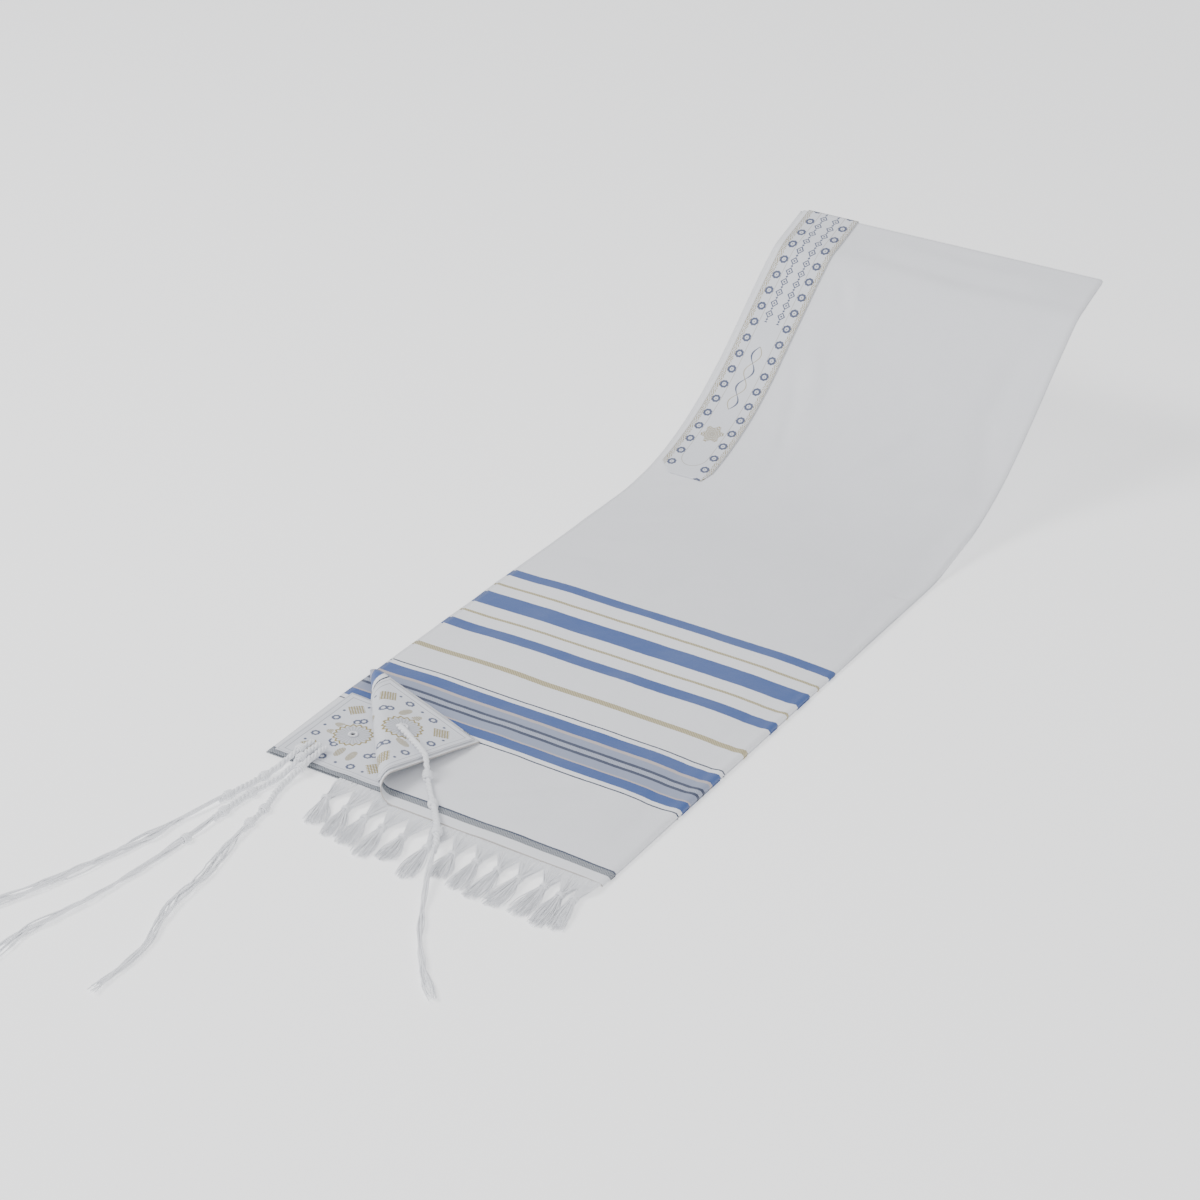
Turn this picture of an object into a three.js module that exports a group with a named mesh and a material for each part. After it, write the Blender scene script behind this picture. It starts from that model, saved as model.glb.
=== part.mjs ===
// A prayer shawl (tallit) of thin woven cloth, folded once along its length and once across it, so
// that four layers lie on each other. Its near end lies flat and its far end sweeps up in a long
// curve. The near left corner of the top layer is turned back, which shows the inner side of the
// cloth and its corner patch, and the next layer's corner and patch lie open beside it. A woven band
// runs along the left edge over the far fold. Knotted fringe hangs at the near end, and a tzitzit
// cord is tied to each of the four corners.
//
// Millimetres, +Z up. While it is built, x runs across the folded cloth from its open left edge, y
// runs away from the near hem and z is the height above the table. A point of the cloth is given as
// (across, along, up): across and along are measured on the cloth as it was cut, and up is the
// height over the underside of the stack of layers.
import * as THREE from 'three';
import { mergeVertices } from 'three/addons/utils/BufferGeometryUtils.js';

// ---- driving dimensions ----------------------------------------------------------------------
const FOLDED_WIDTH = 300;        // half of the 600 mm wide cloth
const FOLDED_LENGTH = 881;       // near hem to far fold, half of the cloth's length
const GAP = 0.3;                 // clearance between pieces that touch
const WALL = 1.2;                // the top layer with the air in its weave
const HIDDEN_HEIGHT = 3.6;       // the three layers below it
const TOP_MID = HIDDEN_HEIGHT + GAP + WALL / 2;
const STACK_HEIGHT = HIDDEN_HEIGHT + GAP + WALL;
const STACK_MID = STACK_HEIGHT / 2;
const TRIM_WALL = 1.0;           // woven band and patches
const EDGE_ROLL = TOP_MID - STACK_MID - GAP; // radius of the lengthwise fold at the right

// The sweep of the cloth along its length: how steep it is at named places, in degrees.
const SWEEP = [
  { along: 0, slope: 0 },        // near hem
  { along: 505, slope: 0 },      // leaves the table
  { along: 706, slope: 39.7 },   // end of the long bend
  { along: 821, slope: 39.7 },   // start of the shoulder
  { along: 837, slope: 18.6 },   // end of the shoulder
  { along: FOLDED_LENGTH, slope: 18.6 },
];
const BEND_ROWS = 12;
const SHOULDER_ROWS = 3;
const ROLL_STEPS = 6;            // facets of a fold's half turn

// The turned corner: a straight roll, square to the direction TURN_AWAY from the corner.
const TURN_AWAY = new THREE.Vector2(0.78, 0.625).normalize();
const TURN_ALONG = new THREE.Vector2(-TURN_AWAY.y, TURN_AWAY.x);
const TURN_REACH = 87.5;         // corner to the outside of the roll, on the flat cloth
const TURN_RADIUS = 8;
const TURN_START = TURN_REACH + TURN_RADIUS;
const FLAP_DROP = THREE.MathUtils.degToRad(11); // the flap comes down to the layer below
const TURN_ANGLE = Math.PI + FLAP_DROP;
const TURN_ARC = TURN_RADIUS * TURN_ANGLE;

// Pieces sewn on.
const PATCH = { side: 96, inset: 3, corner: 2 };
const BAND = { left: 5, right: 57, start: 563, bevel: 14 };
const LOWER_CORNER = { across: 1, along: 12 };    // the next layer's corner, set back a little
const PATCH_CLEAR_OF_ROLL = 5;

// The stack's edges below the top layer: how far each layer stands out at the left and the right.
const LAYER_EDGES = [
  { layer: 'bottom', bottom: 0, top: 1.1, left: -2.6, right: FOLDED_WIDTH - 0.4 },
  { layer: 'third', bottom: 1.3, top: 2.3, left: -1.2, right: FOLDED_WIDTH - 1.2 },
  { layer: 'second', bottom: 2.5, top: HIDDEN_HEIGHT, left: -3.0, right: FOLDED_WIDTH - 3.2 },
];
const EDGE_NOSE = 0.9;           // each layer's edge is rounded by this much

// Fringe: plain slabs of its reach at the near end.
const FRINGE = { reach: 66, root: 20, fall: 3.2, side: 4 };

// Tzitzit: one knotted cord of eight strands at each corner. Each route starts on its patch.
const CORD_DIAMETER = 5;
const CORD_SIDES = 8;
const CORD_STEP = 12.5;
const CORD_ROUTES = [
  { name: 'tzitzit_cord_left', route: [
    [25, 34, 8.4], [24, 24, 8.6], [23, 13, 8.2], [22, 2, 6], [20, -9, 3.6], [18, -20, 2.7],
    [16, -33, 2.7], [13, -48, 2.7], [10, -63, 2.7], [7, -80, 2.7], [3, -98, 2.7], [0, -117, 2.7],
    [-4, -136, 2.7], [-8, -155, 2.7], [-13, -175, 2.7], [-19, -195, 2.7], [-26, -215, 2.7],
    [-33, -234, 2.7], [-38, -253, 2.7], [-41, -272, 2.7], [-43, -289, 2.7]] },
  { name: 'tzitzit_cord_middle', route: [
    [31.5, 33, 8.4], [31, 23, 8.6], [31, 12, 8.2], [30.5, 1, 6], [30, -10, 3.6], [28, -21, 2.7],
    [25.5, -34, 2.7], [24, -48, 2.7], [23, -64, 2.7], [23, -81, 2.7], [23, -99, 2.7],
    [22, -118, 2.7], [21, -137, 2.7], [20, -156, 2.7], [18, -176, 2.7], [15, -197, 2.7],
    [11, -217, 2.7], [7, -236, 2.7], [4, -255, 2.7], [3, -273, 2.7], [4, -290, 2.7]] },
  { name: 'tzitzit_cord_right', route: [
    [38, 32, 8.4], [38, 22, 8.6], [38, 11, 8.2], [37.5, 0, 6], [37, -10, 3.6], [37.5, -21, 2.7],
    [40, -33, 2.7], [44, -45, 2.7], [46.5, -58, 2.7], [48, -72, 2.7], [50.5, -88, 2.7],
    [54, -105, 2.7], [58, -122, 2.7], [60.5, -139, 2.7], [62, -156, 2.7], [64.5, -173, 2.7],
    [69, -190, 2.7], [74.5, -208, 2.7], [80, -227, 2.7], [83, -246, 2.7], [84, -265, 2.7],
    [84, -283, 2.7]] },
  { name: 'tzitzit_cord_turned', route: [
    [80, 67, 24.2], [88, 63.5, 23.4], [97, 59, 22.7], [106, 54, 22.2], [113.5, 50, 21.9],
    [119, 46, 20.2], [123, 42, 15.4], [126.5, 37.5, 10.6], [133, 30, 8.4], [143, 19, 8.2],
    [154, 7, 8.4], [164, -5, 8.6], [173, -17, 8.7], [181, -31, 8.6], [188, -46, 8.2],
    [194.5, -60, 7.4], [201, -72, 5.4], [209, -86, 2.9], [219, -102, 2.7], [230, -119, 2.7],
    [241, -134, 2.7],
    [253, -148, 2.7], [266, -160, 2.7], [276, -168, 2.7]] },
];

const COLOURS = {
  cloth: { color: 0xe6e8ee, roughness: 0.85, metalness: 0 },
  satin: { color: 0xdcdde4, roughness: 0.45, metalness: 0 },
  fringe: { color: 0xe4e6ea, roughness: 0.7, metalness: 0 },
};

const root = new THREE.Group();

// ---- the sweep -------------------------------------------------------------------------------
// Place and slope of the stack's underside at a distance along the cloth. Each stretch of SWEEP is
// straight or an arc, so it is summed exactly.
function sweepAt(along) {
  let y = 0;
  let z = 0;
  let slope = THREE.MathUtils.degToRad(SWEEP[0].slope);
  if (along <= 0) return { y: along, z: 0, slope };
  for (let i = 0; i + 1 < SWEEP.length; i += 1) {
    const length = SWEEP[i + 1].along - SWEEP[i].along;
    const turn = THREE.MathUtils.degToRad(SWEEP[i + 1].slope - SWEEP[i].slope);
    const part = Math.min(along - SWEEP[i].along, length);
    const next = slope + (turn * part) / length;
    const chord = turn === 0 ? part : (2 * length * Math.sin((next - slope) / 2)) / turn;
    y += chord * Math.cos((slope + next) / 2);
    z += chord * Math.sin((slope + next) / 2);
    slope = next;
    if (part < length) break;
  }
  return { y, z, slope };
}

function clothPoint(across, along, up) {
  const { y, z, slope } = sweepAt(along);
  return new THREE.Vector3(across, y - up * Math.sin(slope), z + up * Math.cos(slope));
}

// A point past the far fold: the stack turned by an angle about the middle of its end.
function farFoldPoint(across, angle, up) {
  const lift = up - STACK_MID;
  const out = lift * Math.sin(angle);
  const height = STACK_MID + lift * Math.cos(angle);
  const end = sweepAt(FOLDED_LENGTH);
  return new THREE.Vector3(
    across,
    end.y + out * Math.cos(end.slope) - height * Math.sin(end.slope),
    end.z + out * Math.sin(end.slope) + height * Math.cos(end.slope),
  );
}

// A point of the corner that is turned back. `from` is its distance from the corner, square to the
// roll, `side` its place along the roll and `out` its height over the middle of the cloth, on the
// side of the cloth that faces up once the corner is turned.
function turnedPoint(from, side, out) {
  const past = TURN_START - from;
  const angle = Math.min(past / TURN_RADIUS, TURN_ANGLE);
  const straight = Math.max(past - TURN_ARC, 0);
  const radius = TURN_RADIUS + out;
  const back = radius * Math.sin(angle) + straight * Math.cos(angle);
  const height = TURN_RADIUS - radius * Math.cos(angle) + straight * Math.sin(angle);
  const flat = TURN_AWAY.clone().multiplyScalar(TURN_START - back).addScaledVector(TURN_ALONG, side);
  return new THREE.Vector3(flat.x, flat.y, TOP_MID + height);
}

// Places along the cloth where its mesh needs a row, from one distance to another.
function sweepRows(from, to, spacing) {
  const rows = [from];
  for (let i = 0; i + 1 < SWEEP.length; i += 1) {
    const { along: start } = SWEEP[i];
    const { along: end } = SWEEP[i + 1];
    const bends = SWEEP[i].slope !== SWEEP[i + 1].slope;
    const few = Math.max(1, Math.round((end - start) / spacing));
    const steps = bends ? (end - start > 100 ? BEND_ROWS : SHOULDER_ROWS) : few;
    for (let k = 1; k <= steps; k += 1) {
      const along = start + ((end - start) * k) / steps;
      if (along > from + 1 && along < to - 1) rows.push(along);
    }
  }
  rows.push(to);
  return rows;
}

// ---- meshes ----------------------------------------------------------------------------------
function addPiece(name, geometry, finish, parent = root) {
  const mesh = new THREE.Mesh(geometry, new THREE.MeshStandardMaterial(finish));
  mesh.name = name;
  parent.add(mesh);
  return mesh;
}

// A closed wall between two grids of points with the same rows and columns.
function wallGeometry(upper, lower) {
  const rows = upper.length;
  const columns = upper[0].length;
  const positions = [...upper.flat(), ...lower.flat()].flatMap((p) => [p.x, p.y, p.z]);
  const at = (side, row, column) => side * rows * columns + row * columns + column;
  const index = [];
  const quad = (a, b, c, d) => index.push(a, b, c, a, c, d);
  for (let i = 0; i + 1 < rows; i += 1) {
    for (let j = 0; j + 1 < columns; j += 1) {
      quad(at(0, i, j), at(0, i, j + 1), at(0, i + 1, j + 1), at(0, i + 1, j));
      quad(at(1, i, j), at(1, i + 1, j), at(1, i + 1, j + 1), at(1, i, j + 1));
    }
  }
  for (let i = 0; i + 1 < rows; i += 1) {
    quad(at(0, i, 0), at(0, i + 1, 0), at(1, i + 1, 0), at(1, i, 0));
    quad(at(0, i + 1, columns - 1), at(0, i, columns - 1), at(1, i, columns - 1), at(1, i + 1, columns - 1));
  }
  for (let j = 0; j + 1 < columns; j += 1) {
    quad(at(0, 0, j + 1), at(0, 0, j), at(1, 0, j), at(1, 0, j + 1));
    quad(at(0, rows - 1, j), at(0, rows - 1, j + 1), at(1, rows - 1, j + 1), at(1, rows - 1, j));
  }
  const geometry = new THREE.BufferGeometry();
  geometry.setAttribute('position', new THREE.Float32BufferAttribute(positions, 3));
  geometry.setIndex(index);
  return mergeVertices(geometry, 1e-4);
}

// A closed solid lofted through sections that are all the same outline, with flat ends. The
// outline turns anticlockwise for an eye that looks along the loft from its first section.
function loftGeometry(outline, sections) {
  const count = outline.length;
  const positions = sections.flat().flatMap((p) => [p.x, p.y, p.z]);
  const index = [];
  for (let i = 0; i + 1 < sections.length; i += 1) {
    for (let j = 0; j < count; j += 1) {
      const k = (j + 1) % count;
      const near = i * count;
      const far = near + count;
      index.push(near + j, far + k, near + k, near + j, far + j, far + k);
    }
  }
  const last = (sections.length - 1) * count;
  THREE.ShapeUtils.triangulateShape(outline, []).forEach(([a, b, c]) => {
    index.push(a, b, c, last + a, last + c, last + b);
  });
  const geometry = new THREE.BufferGeometry();
  geometry.setAttribute('position', new THREE.Float32BufferAttribute(positions, 3));
  geometry.setIndex(index);
  return geometry;
}

// ---- cloth -----------------------------------------------------------------------------------
// Across the top layer: flat, then rolled down over the right edge. Each column has its place, and
// the way that its upper side faces.
function topLayerColumns() {
  const flatEnd = FOLDED_WIDTH - EDGE_ROLL;
  const flat = [0, 0.33, 0.67, 1].map((share) => ({ share, across: flatEnd, up: TOP_MID, tilt: 0 }));
  const rolled = [1, 2, 3].map((step) => {
    const tilt = (step * Math.PI) / 6;
    return {
      share: 1,
      across: flatEnd + EDGE_ROLL * Math.sin(tilt),
      up: TOP_MID - EDGE_ROLL * (1 - Math.cos(tilt)),
      tilt,
    };
  });
  return [...flat, ...rolled];
}

function topLayer() {
  const start = TURN_START + GAP;
  const leftEdge = (along) => Math.max(0, (start - along * TURN_AWAY.y) / TURN_AWAY.x);
  const cornerEnd = start / TURN_AWAY.y;
  const rows = [...sweepRows(0, FOLDED_LENGTH, 170), cornerEnd].sort((a, b) => a - b);
  const columns = topLayerColumns();
  const side = (sign) => {
    const place = (column, edge) => ({
      across: edge + (column.across - edge) * column.share + sign * (WALL / 2) * Math.sin(column.tilt),
      up: column.up + sign * (WALL / 2) * Math.cos(column.tilt),
    });
    const along = rows.map((row) => columns.map((column) => {
      const { across, up } = place(column, leftEdge(row));
      return clothPoint(across, row, up);
    }));
    const roll = Array.from({ length: ROLL_STEPS }, (_, step) => columns.map((column) => {
      const { across, up } = place(column, 0);
      return farFoldPoint(across, ((step + 1) * Math.PI) / ROLL_STEPS, up);
    }));
    return [...along, ...roll];
  };
  addPiece('cloth_top_layer', wallGeometry(side(1), side(-1)), COLOURS.cloth);
}

// The hidden layers share one solid, stepped where their edges show.
function layerOutline() {
  const nose = EDGE_NOSE;
  const right = LAYER_EDGES.flatMap((edge) => {
    const middle = (edge.bottom + edge.top) / 2;
    return [
      new THREE.Vector2(edge.right - nose, edge.bottom),
      new THREE.Vector2(edge.right, middle),
      new THREE.Vector2(edge.right - nose, edge.top),
    ];
  });
  const left = [...LAYER_EDGES].reverse().flatMap((edge) => {
    const middle = (edge.bottom + edge.top) / 2;
    return [
      new THREE.Vector2(edge.left + nose, edge.top),
      new THREE.Vector2(edge.left, middle),
      new THREE.Vector2(edge.left + nose, edge.bottom),
    ];
  });
  return [...right, ...left];
}

function hiddenLayers() {
  const outline = layerOutline();
  const rows = sweepRows(LOWER_CORNER.along, FOLDED_LENGTH - GAP, 170);
  const sections = rows.map((along) => outline.map((p) => clothPoint(p.x, along, p.y)));
  addPiece('cloth_hidden_layers', loftGeometry(outline, sections), COLOURS.cloth);
}

// Distances from the corner at which the turned cloth needs a row.
function turnedRows(nearest, farthest, breaks = []) {
  const rollEnd = TURN_START - TURN_ARC;
  const roll = Array.from({ length: ROLL_STEPS + 1 }, (_, i) => rollEnd + (TURN_ARC * i) / ROLL_STEPS);
  const rows = [nearest, rollEnd / 2, ...breaks, ...roll, farthest];
  const kept = rows.filter((from) => from >= nearest && from <= farthest).sort((a, b) => a - b);
  return kept.filter((from, i) => i === 0 || from - kept[i - 1] > 0.5 || from === farthest);
}

// Where a row at a distance from the corner crosses a square that has one corner at `inset` and
// sides of the length `size`: its two ends along the roll.
function squareSpan(from, inset, size) {
  const far = inset + size;
  const sideAt = (across, along) => across * TURN_ALONG.x + along * TURN_ALONG.y;
  const alongAt = (across) => (from - across * TURN_AWAY.x) / TURN_AWAY.y;
  const acrossAt = (along) => (from - along * TURN_AWAY.y) / TURN_AWAY.x;
  const left = alongAt(inset) <= far ? [inset, alongAt(inset)] : [acrossAt(far), far];
  const near = acrossAt(inset) <= far ? [acrossAt(inset), inset] : [far, alongAt(far)];
  return [sideAt(...near), sideAt(...left)];
}

function turnedWall(rows, span, outside, inside) {
  const grid = (out) => rows.map((from) => {
    const [near, left] = span(from);
    return [0, 0.5, 1].map((share) => turnedPoint(from, near + (left - near) * share, out));
  });
  return wallGeometry(grid(outside), grid(inside));
}

function turnedCorner() {
  const rows = turnedRows(1.2, TURN_START);
  const span = (from) => squareSpan(from, 0, FOLDED_WIDTH);
  addPiece('cloth_turned_corner', turnedWall(rows, span, WALL / 2, -WALL / 2), COLOURS.cloth);
}

// ---- patches and band ------------------------------------------------------------------------
function turnedPatch() {
  const { inset, side } = PATCH;
  const far = inset + side;
  const breaks = [
    inset * TURN_AWAY.x + far * TURN_AWAY.y,
    far * TURN_AWAY.x + inset * TURN_AWAY.y,
  ];
  const nearest = inset * (TURN_AWAY.x + TURN_AWAY.y) + PATCH.corner;
  const rows = turnedRows(nearest, TURN_START - TURN_RADIUS, breaks);
  const span = (from) => squareSpan(from, inset, side);
  const inside = WALL / 2 + GAP;
  addPiece('corner_patch_turned', turnedWall(rows, span, inside + TRIM_WALL, inside), COLOURS.satin);
}

// The lower patch is a square, cut off where the turned corner's roll comes down on it.
function lowerPatch() {
  const across = LOWER_CORNER.across + PATCH.inset;
  const along = LOWER_CORNER.along + PATCH.inset;
  const limit = TURN_START - PATCH_CLEAR_OF_ROLL;
  const rollAcross = (at) => (limit - at * TURN_AWAY.y) / TURN_AWAY.x;
  const shape = new THREE.Shape([
    new THREE.Vector2(across, along),
    new THREE.Vector2(rollAcross(along), along),
    new THREE.Vector2(rollAcross(along + PATCH.side), along + PATCH.side),
    new THREE.Vector2(across, along + PATCH.side),
  ]);
  const geometry = new THREE.ExtrudeGeometry(shape, { depth: TRIM_WALL, bevelEnabled: false });
  geometry.translate(0, 0, HIDDEN_HEIGHT + GAP);
  addPiece('corner_patch_lower', geometry, COLOURS.satin);
}

// The band runs up the left edge, round the far fold and back along the underside.
function collarBand() {
  const rows = sweepRows(BAND.start, FOLDED_LENGTH, 60);
  const ends = (along) => {
    const cut = Math.max(0, BAND.bevel - (along - BAND.start));
    return [BAND.left + cut, BAND.right - cut / 3];
  };
  const columns = (along) => {
    const [left, right] = ends(along);
    return [left, (left + right) / 2, right];
  };
  const spaced = [rows[0], BAND.start + BAND.bevel, ...rows.slice(1)];
  const side = (out) => {
    const top = STACK_HEIGHT + GAP + out;
    const over = spaced.map((along) => columns(along).map((x) => clothPoint(x, along, top)));
    const turn = Array.from({ length: ROLL_STEPS - 1 }, (_, step) => (
      columns(FOLDED_LENGTH).map((x) => farFoldPoint(x, ((step + 1) * Math.PI) / ROLL_STEPS, top))
    ));
    const under = [...spaced].reverse().map((along) => (
      columns(along).map((x) => clothPoint(x, along, STACK_HEIGHT - top))
    ));
    return [...over, ...turn, ...under];
  };
  addPiece('collar_band', wallGeometry(side(TRIM_WALL), side(0)), COLOURS.satin);
}

// ---- fringe ----------------------------------------------------------------------------------
// A slab that starts at a hem, falls to the table and lies there.
function fringeSlab(name, left, right, hem, top) {
  const lies = hem - FRINGE.root;
  const end = hem - FRINGE.reach;
  const profile = [
    { y: hem - GAP, z: 0.2 },
    { y: hem - GAP, z: top },
    { y: lies, z: top },
    { y: end, z: top - FRINGE.fall / 2 },
    { y: end - 1, z: 0.2 },
  ];
  const outline = profile.map((p) => new THREE.Vector2(p.y, p.z));
  const sections = [right, left].map((x) => profile.map((p) => new THREE.Vector3(x, p.y, p.z)));
  addPiece(name, loftGeometry(outline, sections), COLOURS.fringe);
}

function fringes() {
  const split = (TURN_START + GAP) / TURN_AWAY.x;
  fringeSlab('fringe_top_layer', split, FOLDED_WIDTH + FRINGE.side, 0, STACK_HEIGHT);
  fringeSlab('fringe_lower_layers', 66, split - GAP, LOWER_CORNER.along, HIDDEN_HEIGHT);
}

// ---- tzitzit ---------------------------------------------------------------------------------
function cord({ name, route }) {
  const curve = new THREE.CatmullRomCurve3(route.map((p) => new THREE.Vector3(...p)), false, 'centripetal');
  const section = new THREE.Shape();
  for (let i = 0; i < CORD_SIDES; i += 1) {
    const angle = ((i + 0.5) * 2 * Math.PI) / CORD_SIDES;
    const x = (CORD_DIAMETER / 2) * Math.cos(angle);
    const y = (CORD_DIAMETER / 2) * Math.sin(angle);
    if (i === 0) section.moveTo(x, y);
    else section.lineTo(x, y);
  }
  section.closePath();
  const steps = Math.round(curve.getLength() / CORD_STEP);
  const geometry = new THREE.ExtrudeGeometry(section, { steps, extrudePath: curve, bevelEnabled: false });
  addPiece(name, geometry, COLOURS.fringe);
}

topLayer();
hiddenLayers();
turnedCorner();
lowerPatch();
turnedPatch();
collarBand();
fringes();

// The origin is on the table, under the middle of the shawl without its cords.
const middle = new THREE.Box3().setFromObject(root).getCenter(new THREE.Vector3());
CORD_ROUTES.forEach(cord);
root.position.set(-middle.x, -middle.y, 0);

export default root;
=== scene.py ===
"""Looks of a folded prayer shawl (tallit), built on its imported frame.

The shawl is one thin woven cloth, folded into four layers. Its near end lies flat and its far end
sweeps up. One corner of the top layer is turned back over its corner patch. A woven band runs over
the far fold, knotted fringe hangs at the near hem and a tzitzit is tied to each corner.

Lengths are metres. Points of the cloth are given as (across, along) on the flat cut.
"""
import logging
import math
import random
from dataclasses import dataclass, field
from enum import Enum
from typing import Callable, Iterable, Sequence

import bmesh
import bpy
from mathutils import Matrix, Vector, noise


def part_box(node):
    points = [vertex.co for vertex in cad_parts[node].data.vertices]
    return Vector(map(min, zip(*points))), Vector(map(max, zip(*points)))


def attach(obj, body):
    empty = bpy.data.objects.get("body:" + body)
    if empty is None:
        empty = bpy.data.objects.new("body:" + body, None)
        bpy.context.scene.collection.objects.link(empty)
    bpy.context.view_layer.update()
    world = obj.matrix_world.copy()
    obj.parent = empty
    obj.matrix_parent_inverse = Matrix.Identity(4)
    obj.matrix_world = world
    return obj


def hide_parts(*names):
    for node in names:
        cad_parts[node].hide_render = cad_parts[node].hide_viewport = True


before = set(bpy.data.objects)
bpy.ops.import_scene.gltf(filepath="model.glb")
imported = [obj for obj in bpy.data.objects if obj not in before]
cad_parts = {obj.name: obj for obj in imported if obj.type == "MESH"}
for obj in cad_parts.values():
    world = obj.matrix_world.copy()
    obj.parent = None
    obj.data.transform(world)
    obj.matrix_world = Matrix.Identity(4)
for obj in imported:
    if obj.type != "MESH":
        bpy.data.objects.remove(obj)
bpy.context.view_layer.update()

LOG = logging.getLogger("tallit")
MM = 0.001
BODY = "root"


def srgb(code: int) -> tuple[float, float, float, float]:
    """A hexadecimal screen colour as linear red, green, blue and alpha."""
    parts = [((code >> shift) & 255) / 255 for shift in (16, 8, 0)]
    linear = [p / 12.92 if p <= 0.04045 else ((p + 0.055) / 1.055) ** 2.4 for p in parts]
    return (*linear, 1.0)


def ease(value: float, low: float, high: float) -> float:
    """0 below low, 1 above high and a smooth rise between them."""
    share = min(max((value - low) / (high - low), 0.0), 1.0)
    return share * share * (3 - 2 * share)


# ---- shader maths ------------------------------------------------------------------------------
class Surface:
    """A material whose nodes are added one by one."""

    def __init__(self, name: str) -> None:
        """Makes an empty material with its Principled shader."""
        self.material = bpy.data.materials.new(name)
        self.material.use_nodes = True
        self.tree = self.material.node_tree
        self.shader = self.tree.nodes["Principled BSDF"]

    def node(self, kind: str, settings: dict | None = None, **sockets: object) -> bpy.types.Node:
        """Adds a node.

        Args:
            kind: the node's type, without its ShaderNode prefix.
            settings: its own settings; "stops" lists a ramp's (position, colour) pairs.
            sockets: values or links of its inputs; "_" stands for a space, and a name such as
                in_1 is the input at that place.

        Returns:
            The new node.
        """
        node = self.tree.nodes.new("ShaderNode" + kind)
        for name, value in (settings or {}).items():
            if name == "stops":
                self._fill_ramp(node.color_ramp, value)
            elif name == "interpolation":
                node.color_ramp.interpolation = value
            else:
                setattr(node, name, value)
        for name, value in sockets.items():
            key = int(name[3:]) if name.startswith("in_") else name.replace("_", " ")
            self.feed(node.inputs[key], value)
        return node

    def feed(self, socket: bpy.types.NodeSocket, value: object) -> None:
        """Links a socket to another, or sets its value."""
        if isinstance(value, Num):
            value = value.socket
        if isinstance(value, bpy.types.NodeSocket):
            self.tree.links.new(value, socket)
        else:
            socket.default_value = value

    def _fill_ramp(self, ramp: bpy.types.ColorRamp, stops: Sequence[tuple]) -> None:
        """Gives a ramp its stops."""
        ramp.elements[0].position, ramp.elements[0].color = stops[0]
        ramp.elements[1].position, ramp.elements[1].color = stops[-1]
        for position, colour in stops[1:-1]:
            ramp.elements.new(position).color = colour

    def number(self, socket: bpy.types.NodeSocket) -> "Num":
        """Wraps a socket for arithmetic."""
        return Num(self, socket)

    def cut_place(self) -> tuple["Num", "Num"]:
        """The place on the flat cut, across and along, in millimetres."""
        place = self.node("UVMap", {"uv_map": "cut"})
        parts = self.node("SeparateXYZ", None, Vector=place.outputs[0])
        return self.number(parts.outputs[0]) * 1000, self.number(parts.outputs[1]) * 1000

    def noise(self, scale: float, detail: float = 3.0, vector: object = None) -> "Num":
        """Noise from 0 to 1, on Object coordinates unless a vector is given."""
        if vector is None:
            vector = self.node("TexCoord").outputs["Object"]
        made = self.node("TexNoise", None, Vector=vector, Scale=scale, Detail=detail)
        return self.number(made.outputs[0])

    def mix(self, share: object, first: object, second: object) -> bpy.types.NodeSocket:
        """Mixes two colours by a share from 0 to 1."""
        made = self.node("Mix", {"data_type": "RGBA"}, in_0=share, in_6=first, in_7=second)
        return made.outputs[2]

    def bump(self, height: object, distance: float, strength: float, normal: object = None) -> object:
        """A bump of a height from 0 to 1, with its distance in metres."""
        sockets = {"Height": height, "Distance": distance, "Strength": strength}
        if normal is not None:
            sockets["Normal"] = normal
        return self.node("Bump", None, **sockets).outputs[0]

    def finish(self, **sockets: object) -> bpy.types.Material:
        """Feeds the Principled shader's inputs and returns the material."""
        for name, value in sockets.items():
            self.feed(self.shader.inputs[name.replace("_", " ")], value)
        return self.material


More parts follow.
